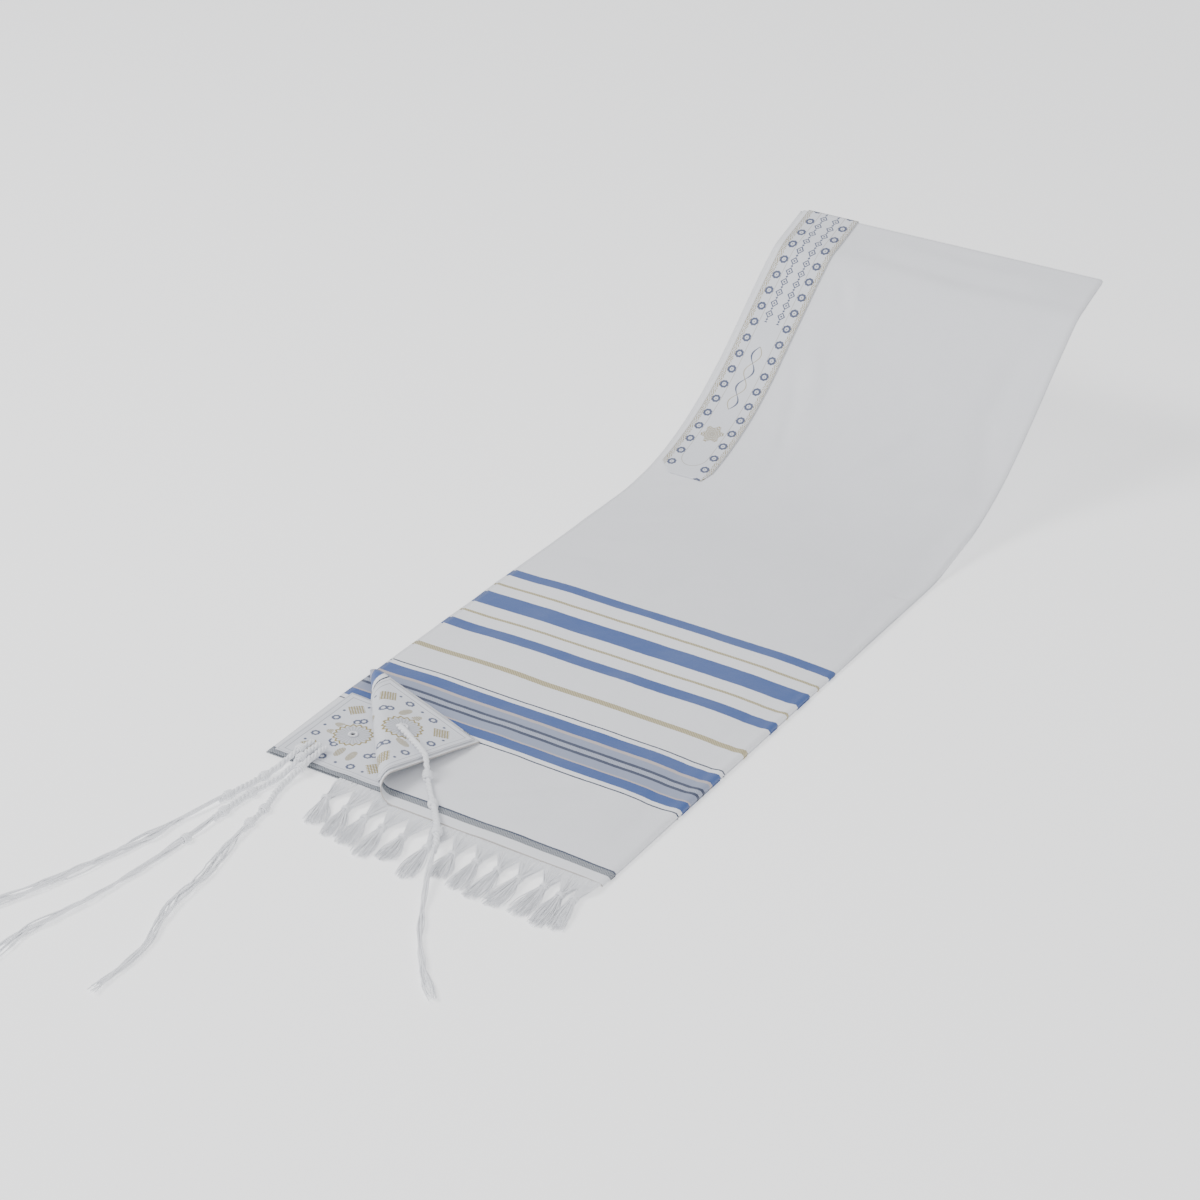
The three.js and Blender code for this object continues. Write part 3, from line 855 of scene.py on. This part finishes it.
@dataclass(frozen=True)
class Tzitzit:
    """One tzitzit: plies twisted together as far as its last knot, then eight loose strings."""

    name: str
    route: Route
    knots: tuple[float, ...]
    loose_from: float
    spread: float
    seed: int
    diameter: float = 5.0 * MM
    ply: float = 1.3 * MM
    string: float = 0.62 * MM

    def frames(self, line: list[Vector]) -> list[tuple[Vector, Vector, Vector, float]]:
        """Each point with its sideways and upward directions and its distance along."""
        made, along = [], 0.0
        for place, point in enumerate(line):
            ahead = (line[min(place + 1, len(line) - 1)] - line[max(place - 1, 0)]).normalized()
            side = ahead.cross(Vector((0, 0, 1))).normalized()
            made.append((point, side, side.cross(ahead), along))
            along += self.route.step
        return made

    def twisted(self, frames: list) -> list[Strand]:
        """Three plies twisted round the line, up to where the strings come loose."""
        plies = []
        for ply in range(3):
            strand = []
            for point, side, up, along in frames:
                if along > self.loose_from + 6 * MM:
                    break
                turn = along / (12.5 * MM) * 2 * math.pi + ply * 2 * math.pi / 3
                swell = 1 + 0.12 * math.sin(along / (17 * MM) + self.seed + ply)
                off = side * math.cos(turn) + up * math.sin(turn)
                strand.append((point + off * self.ply * 0.98 * swell, self.ply * swell))
            plies.append(strand)
        return plies

    def wraps(self, frames: list) -> list[Strand]:
        """Turns of string round the cord at each knot."""
        made = []
        for knot in self.knots:
            wrap = []
            for k in range(49):
                along = knot * MM + (k / 48 - 0.5) * 6.4 * MM
                place = min(max(along / self.route.step, 0), len(frames) - 2)
                point, side, up, _ = frames[int(place)]
                after = frames[int(place) + 1][0]
                centre = point.lerp(after, place - int(place))
                turn = k / 12 * 2 * math.pi
                reach = (2.55 + 0.75 * math.sin(math.pi * k / 48)) * MM
                off = side * math.cos(turn) + up * math.sin(turn) * 0.85
                wrap.append((centre + off * reach, 0.95 * MM))
            made.append(wrap)
        return made

    def strings(self, frames: list) -> list[Strand]:
        """Eight loose strings that part, cross and fray at the end."""
        chance = random.Random(self.seed)
        made = []
        last = frames[-1][3]
        for number in range(10):
            lane = (number / 9 - 0.5) * 2
            phases = [chance.uniform(0, 6.28) for _ in range(4)]
            paces = [chance.uniform(26, 44) * MM, chance.uniform(60, 95) * MM]
            end = last - chance.uniform(0, 7 * MM) * (number % 3 > 0)
            strand = []
            for point, side, up, along in frames:
                if along < self.loose_from - 2 * MM or along > end:
                    continue
                open_share = ease(along, self.loose_from, self.loose_from + 45 * MM)
                close = 0.72 + 0.28 * math.sin(along / (48 * MM) + self.seed)
                fray = ease(along, last - 26 * MM, last)
                width = (1.3 + (self.spread - 1.3) * open_share) * close + 1.6 * fray
                cross = 0.55 * math.sin(along / paces[1] * 6.28 + phases[0])
                curl = 0.16 * math.sin(along / paces[0] * 6.28 + phases[1])
                off = lane * (0.75 + 0.25 * math.cos(phases[2])) + cross + curl
                off = max(-4.0, min(4.0, off * width))
                rise = 0.9 + 0.9 * math.sin(along / (33 * MM) + phases[3]) - 1.0 * open_share
                strand.append((point + side * off * MM + up * rise * MM * (1 - 0.6 * fray),
                               self.string * (1 - 0.45 * fray)))
            made.append(strand)
        return made

    def build(self, origin: Vector, material: bpy.types.Material) -> bpy.types.Object:
        line = self.route.smooth(origin)
        frames = self.frames(line)
        strands = [*self.twisted(frames), *self.wraps(frames), *self.strings(frames)]
        piece = make_strands(self.name + "_strands", strands, material, 1)
        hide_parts(self.name)
        length = sum((b - a).length for a, b in zip(line, line[1:]))
        LOG.info("%s is %.1f mm long", self.name, length / MM)
        return piece


TZITZIT = (
    Tzitzit("tzitzit_cord_left", Route((
        (25, 34, 8.4), (24, 24, 8.6), (23, 13, 8.2), (22, 2, 6), (20, -9, 3.6), (18, -20, 2.7),
        (16, -33, 2.7), (13, -48, 2.7), (10, -63, 2.7), (7, -80, 2.7), (3, -98, 2.7), (0, -117, 2.7),
        (-4, -136, 2.7), (-8, -155, 2.7), (-13, -175, 2.7), (-19, -195, 2.7), (-26, -215, 2.7),
        (-33, -234, 2.7), (-38, -253, 2.7), (-41, -272, 2.7), (-43, -289, 2.7))),
        (14, 52, 87), 92 * MM, 4.2, 3),
    Tzitzit("tzitzit_cord_middle", Route((
        (31.5, 33, 8.4), (31, 23, 8.6), (31, 12, 8.2), (30.5, 1, 6), (30, -10, 3.6), (28, -21, 2.7),
        (25.5, -34, 2.7), (24, -48, 2.7), (23, -64, 2.7), (23, -81, 2.7), (23, -99, 2.7),
        (22, -118, 2.7), (21, -137, 2.7), (20, -156, 2.7), (18, -176, 2.7), (15, -197, 2.7),
        (11, -217, 2.7), (7, -236, 2.7), (4, -255, 2.7), (3, -273, 2.7), (4, -290, 2.7))),
        (22, 74, 104, 146), 112 * MM, 4.0, 7),
    Tzitzit("tzitzit_cord_right", Route((
        (38, 32, 8.4), (38, 22, 8.6), (38, 11, 8.2), (37.5, 0, 6), (37, -10, 3.6), (37.5, -21, 2.7),
        (40, -33, 2.7), (44, -45, 2.7), (46.5, -58, 2.7), (48, -72, 2.7), (50.5, -88, 2.7),
        (54, -105, 2.7), (58, -122, 2.7), (60.5, -139, 2.7), (62, -156, 2.7), (64.5, -173, 2.7),
        (69, -190, 2.7), (74.5, -208, 2.7), (80, -227, 2.7), (83, -246, 2.7), (84, -265, 2.7),
        (84, -283, 2.7))),
        (30, 85, 105), 110 * MM, 4.0, 11),
    Tzitzit("tzitzit_cord_turned", Route((
        (80, 67, 24.2), (88, 63.5, 23.4), (97, 59, 22.7), (106, 54, 22.2), (113.5, 50, 21.9),
        (119, 46, 20.2), (123, 42, 15.4), (126.5, 37.5, 10.6), (133, 30, 8.4), (143, 19, 8.2),
        (154, 7, 8.4), (164, -5, 8.6), (173, -17, 8.7), (181, -31, 8.6), (188, -46, 8.2),
        (194.5, -60, 7.4), (201, -72, 5.4), (209, -86, 2.9), (219, -102, 2.7), (230, -119, 2.7),
        (241, -134, 2.7), (253, -148, 2.7), (266, -160, 2.7), (276, -168, 2.7))),
        (58, 92, 128), 150 * MM, 3.6, 19),
)


# ---- cloth -------------------------------------------------------------------------------------
@dataclass
class Cloth:
    """The top layer with its turned corner, and the three layers under it."""

    form: FoldedForm
    material: bpy.types.Material
    wall: float = 0.7 * MM

    def top_point(self, across: float, along: float) -> Vector:
        """Place of a point of the top layer's middle."""
        form = self.form
        if form.from_corner(across, along) < form.turn_start:
            wave = 0.5 * noise.noise(Vector((across / MM / 30, along / MM / 30, 1.7)))
            return form.turned(across, along, wave * MM)
        flat_end = form.width - form.edge_roll
        clear = ease(form.from_corner(across, along), form.turn_start, form.turn_start + 25 * MM)
        lift = form.lift(across, along) * clear
        angle = max(0.0, (across - flat_end) / form.edge_roll)
        place = across if angle == 0 else flat_end + form.edge_roll * math.sin(angle)
        up = form.top_mid + lift - form.edge_roll * (1 - math.cos(angle)) * (1 + lift / form.top_mid)
        return form.place(place, along, up)

    def top(self) -> bpy.types.Object:
        """Makes the top layer. It goes round the right and far folds."""
        form = self.form
        right = form.width - form.edge_roll + form.edge_roll * math.radians(100)
        far = form.length + (form.top_mid - form.stack_mid) * math.pi
        bm = flat_sheet(0, right, 0, far, 3.0 * MM)
        keep_cut(bm)
        bend(bm, self.top_point)
        piece = make_piece("cloth_top", bm, self.material, self.wall)
        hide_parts("cloth_top_layer", "cloth_turned_corner")
        return piece

    def lower(self, name: str, mid: float, left: float, right: float, hem: float, follow: float,
              below: str) -> bpy.types.Object:
        """Makes one of the layers below.

        Args:
            name: the piece's name.
            mid: height of its middle.
            left: where its left edge lies.
            right: where its right edge lies.
            hem: where its near hem lies.
            follow: how much of the top layer's creases it follows where it lies on the table.
            below: what it rests on; not used.

        Returns:
            The new object.
        """
        form = self.form
        bm = flat_sheet(left, right, hem, form.length - 0.4 * MM, 5.0 * MM)
        keep_cut(bm)

        def place(across: float, along: float) -> Vector:
            share = follow + (1 - follow) * ease(along, 0.505, 0.56)
            lift = form.lift(across, along) * share
            wave = 0.7 * noise.noise(Vector((along / MM / 55, mid / MM, 5.5))) * MM
            edge = 1 - ease(across, left, left + 12 * MM)
            corner = 3.0 * MM * (1 - ease(along, hem, hem + 0.12)) * (1 if follow > 0.3 else 0)
            inward = (wave + corner) * edge
            return form.place(across + inward, along, max(mid + lift, self.wall / 2))

        bend(bm, place)
        piece = make_piece(name, bm, self.material, self.wall)
        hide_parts("cloth_hidden_layers")
        return piece

    def build(self) -> list[bpy.types.Object]:
        """Makes the four layers."""
        width = self.form.width
        return [
            self.top(),
            self.lower("cloth_second", 3.25 * MM, -3.0 * MM, width - 3.2 * MM, 12 * MM, 0.5, "cloth_third"),
            self.lower("cloth_third", 1.95 * MM, -1.2 * MM, width - 1.2 * MM, 13.5 * MM, 0.2,
                       "cloth_bottom"),
            self.lower("cloth_bottom", 0.55 * MM, -2.6 * MM, width - 0.4 * MM, 12.5 * MM, 0.0, "floor"),
        ]


# ---- patches and band --------------------------------------------------------------------------
@dataclass
class CornerPatches:
    """The two corner patches that show, each with a worked eyelet."""

    form: FoldedForm
    side: float = 96 * MM
    inset: float = 3 * MM
    lower_corner: tuple[float, float] = (1 * MM, 12 * MM)
    lower_eyelet: tuple[float, float] = (41 * MM, 62 * MM)
    turned_eyelet: tuple[float, float] = (42 * MM, 41 * MM)
    wall: float = 0.5 * MM

    def puff(self, across: float, along: float, left: float, near: float) -> float:
        """Height of the patch's hemmed edge and its soft middle."""
        x, y = across - left, along - near
        edge = min(x, y, self.side - x, self.side - y)
        hem = 0.45 * (1 - ease(edge, 3 * MM, 6 * MM)) + 0.35 * ease(edge, 8 * MM, 24 * MM)
        return (hem + 0.5 * noise.noise(Vector((across / MM / 16, along / MM / 16, 2.2)))) * MM

    def sheet(self, name: str, node: str, left: float, near: float, limit: float, eyelet: tuple,
              point: Callable[[float, float, float], Vector]) -> bpy.types.Object:
        """Makes a patch, cut off at a distance from the shawl's corner."""
        form = self.form
        bm = flat_sheet(left, left + self.side, near, near + self.side, 2.0 * MM)
        cut_off(bm, tuple(form.away * limit), tuple(form.away))
        area = flat_area(bm)
        keep_cut(bm)
        bend(bm, lambda across, along: point(across, along, self.puff(across, along, left, near)))
        middle = ((left + self.side / 2) / MM, (near + self.side / 2) / MM)
        finish = PatchFinish("satin_" + name, middle, (eyelet[0] / MM, eyelet[1] / MM))
        piece = make_piece(name, bm, finish.material(), self.wall)
        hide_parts(node)
        return piece

    def eyelet(self, name: str, centre: Vector, across: Vector, along: Vector,
               material: bpy.types.Material) -> bpy.types.Object:
        """A ring of buttonhole stitches round the eyelet's opening."""
        normal = across.cross(along).normalized()
        strand = []
        for k in range(161):
            turn = k / 160 * 2 * math.pi
            beat = k / 160 * 2 * math.pi * 22
            out = across * math.cos(turn) + along * math.sin(turn)
            reach = (3.0 + 0.75 * math.cos(beat)) * MM
            strand.append((centre + out * reach + normal * (0.5 + 0.45 * math.sin(beat)) * MM, 0.38 * MM))
        piece = make_strands(name, [strand], material, 1)
        return piece

    def build(self, yarn: bpy.types.Material) -> list[bpy.types.Object]:
        """Makes both patches and their eyelets."""
        form, inset = self.form, self.inset
        left, near = self.lower_corner[0] + inset, self.lower_corner[1] + inset

        def lower_point(across: float, along: float, puff: float) -> Vector:
            return form.place(across, along, 4.15 * MM + puff)

        def turned_point(across: float, along: float, puff: float) -> Vector:
            return form.turned(across, along, 1.0 * MM + puff)

        pieces = [
            self.sheet("patch_lower", "corner_patch_lower", left, near, form.turn_start - 5 * MM,
                       self.lower_eyelet, lower_point),
            self.sheet("patch_turned", "corner_patch_turned", inset, inset, form.turn_reach,
                       self.turned_eyelet, turned_point),
        ]
        for name, (u, s), point in (("eyelet_lower", self.lower_eyelet, lower_point),
                                    ("eyelet_turned", self.turned_eyelet, turned_point)):
            centre = point(u, s, 0.9 * MM)
            across = (point(u + MM, s, 0.9 * MM) - centre).normalized()
            along = (point(u, s + MM, 0.9 * MM) - centre).normalized()
            if across.cross(along).z < 0:
                across = -across
            pieces.append(self.eyelet(name, centre, across, along, yarn))
        return pieces


@dataclass
class CollarBand:
    """The woven band along the left edge, over the far fold and back underneath."""

    form: FoldedForm
    left: float = 5 * MM
    right: float = 57 * MM
    start: float = 563 * MM
    bevel: float = 14 * MM
    wall: float = 0.5 * MM
    up: float = 5.5 * MM

    def point(self, across: float, along: float) -> Vector:
        """Place of a point of the band's middle. It lies on the top layer and its creases."""
        form = self.form
        if along <= form.length:
            edge = min(across - self.left, self.right - across)
            hem = 0.3 * (1 - ease(edge, 1 * MM, 4 * MM)) * MM
            return form.place(across, along, self.up + form.lift(across, along) + hem)
        return form.place(across, along, self.up)

    def build(self) -> bpy.types.Object:
        """Makes the band."""
        form = self.form
        turn = (self.up - form.stack_mid) * math.pi
        total = 2 * (form.length - self.start) + turn
        bm = flat_sheet(self.left, self.right, self.start, self.start + total, 2.0 * MM)
        cut_off(bm, (self.left + self.bevel, self.start), (-1, -1))
        cut_off(bm, (self.right - self.bevel / 3, self.start), (3, -1))
        keep_cut(bm)
        bend(bm, self.point)
        piece = make_piece("band", bm, BandFinish().material(), self.wall)
        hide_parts("collar_band")
        return piece


# ---- fringe ------------------------------------------------------------------------------------
@dataclass(frozen=True)
class Tassel:
    """One bundle of fringe, in mm: its root, its knot and its tip, and how far it flares."""

    root: tuple[float, float]
    knot: tuple[float, float]
    tip: tuple[float, float]
    flare: float
    width: float = 9.8


@dataclass
class Fringe:
    """Knotted fringe: threads of the hem gathered in knots, and brushed out below them."""

    form: FoldedForm
    material: bpy.types.Material
    threads: int = 84

    def bundle(self, tassel: Tassel, hem_height: float, chance: random.Random) -> list[Strand]:
        """The threads of one tassel with its knot."""
        origin = self.form.origin
        strands = []
        root, knot, tip = Vector(tassel.root), Vector(tassel.knot), Vector(tassel.tip)
        ahead = (tip - knot).normalized()
        side = Vector((-ahead.y, ahead.x))
        length = (tip - knot).length
        for _ in range(self.threads):
            lane = chance.uniform(-1, 1)
            level = chance.uniform(0, 1)
            splay = lane * 0.75 + chance.uniform(-0.25, 0.25)
            reach = length * chance.uniform(0.84, 1.05) * (1 - 0.1 * splay * splay)
            bow = chance.uniform(-1.5, 1.5)
            strand = []
            for k in range(5):
                t = k / 5
                gather = 1 - ease(t, 0.15, 1.0) * 0.82
                centre = root.lerp(knot, t)
                place = centre + Vector((lane * tassel.width * gather, 0.6 * math.sin(lane * 9) * t))
                high = hem_height * (1 - ease(t, 0.1, 0.9)) + (1.2 + 2.6 * level) * ease(t, 0.1, 0.9)
                strand.append((place, high, 0.34))
            for k in range(8):
                t = k / 7
                spread = 1.7 + (tassel.flare - 1.7) * ease(t, -0.15, 0.8)
                place = knot + ahead * reach * t + side * (splay * spread + bow * math.sin(math.pi * t))
                high = 0.5 + (0.6 + 3.6 * level) * (1 - 0.55 * t)
                strand.append((place, high, 0.36 * (1 - 0.35 * t)))
            strands.append([(origin + Vector((p.x, p.y, high)) * MM, radius * MM)
                            for p, high, radius in strand])
        for turn in range(3):
            ring = []
            centre = knot + ahead * (turn - 1) * 1.4
            for k in range(13):
                angle = k / 12 * 2 * math.pi
                place = centre + side * math.cos(angle) * 2.9 + ahead * 0.8 * math.sin(angle + turn)
                high = 3.0 + 2.2 * math.sin(angle)
                ring.append((origin + Vector((place.x, place.y, high)) * MM, 0.8 * MM))
            strands.append(ring)
        return strands

    def build(self) -> list[bpy.types.Object]:
        """Makes the top layer's fringe, and what shows of the lower layers'."""
        chance = random.Random(5)
        top = [
            Tassel((132, -0.5), (131, -25), (136, -62), 9.0),
            Tassel((151, -0.5), (150, -27), (153, -56), 9.5),
            Tassel((170, -0.5), (172, -29), (177, -66), 8.5),
            Tassel((189, -0.5), (192, -25), (197, -54), 10.0),
            Tassel((208, -0.5), (211, -24), (214, -58), 9.0),
            Tassel((227, -0.5), (229, -24), (229, -60), 10.0),
            Tassel((246, -0.5), (247, -25), (246, -61), 9.5),
            Tassel((264, -0.5), (267, -23), (266, -60), 9.0),
            Tassel((280, -0.5), (282, -26), (285, -63), 8.5),
            Tassel((292, -0.5), (292, -24), (298, -60), 7.0, 7.0),
        ]
        lower = [
            Tassel((76, 11), (74, -16), (84, -47), 9.5),
            Tassel((95, 11), (95, -20), (104, -53), 10.0),
            Tassel((114, 11), (113, -22), (119, -56), 9.0),
        ]
        pieces = []
        for name, node, tassels, height in (("fringe_top", "fringe_top_layer", top, 4.4),
                                            ("fringe_lower", "fringe_lower_layers", lower, 3.2)):
            strands = [strand for tassel in tassels for strand in self.bundle(tassel, height, chance)]
            piece = make_strands(name, strands, self.material)
            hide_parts(node)
            pieces.append(piece)
        return pieces


# ---- the whole shawl ---------------------------------------------------------------------------
def main() -> None:
    """Builds the studio, the tzitzit, the cloth, its patches and band, and the fringe."""
    logging.basicConfig(level=logging.INFO, format="%(name)s: %(message)s")
    top_low, top_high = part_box("cloth_top_layer")
    origin = Vector((top_high[0] - 300.6 * MM, top_low[1], 0.0))
    studio = Studio(origin + Vector((85.73, 340.34, 5.1)) * MM)
    studio.camera()
    cord_yarn = YarnFinish("tzitzit", 0xC2C6CF, 1500).material()
    for tzitzit in TZITZIT:
        tzitzit.build(origin, cord_yarn)
    form = FoldedForm(origin)
    Cloth(form, ClothFinish().material()).build()
    fringe_yarn = YarnFinish("fringe", 0xC4C8D2, 1800).material()
    for piece in CornerPatches(form).build(fringe_yarn):
        LOG.info("%s placed", piece.name)
    CollarBand(form).build()
    Fringe(form, fringe_yarn).build()
    studio.room()


if __name__ == "__main__":
    main()
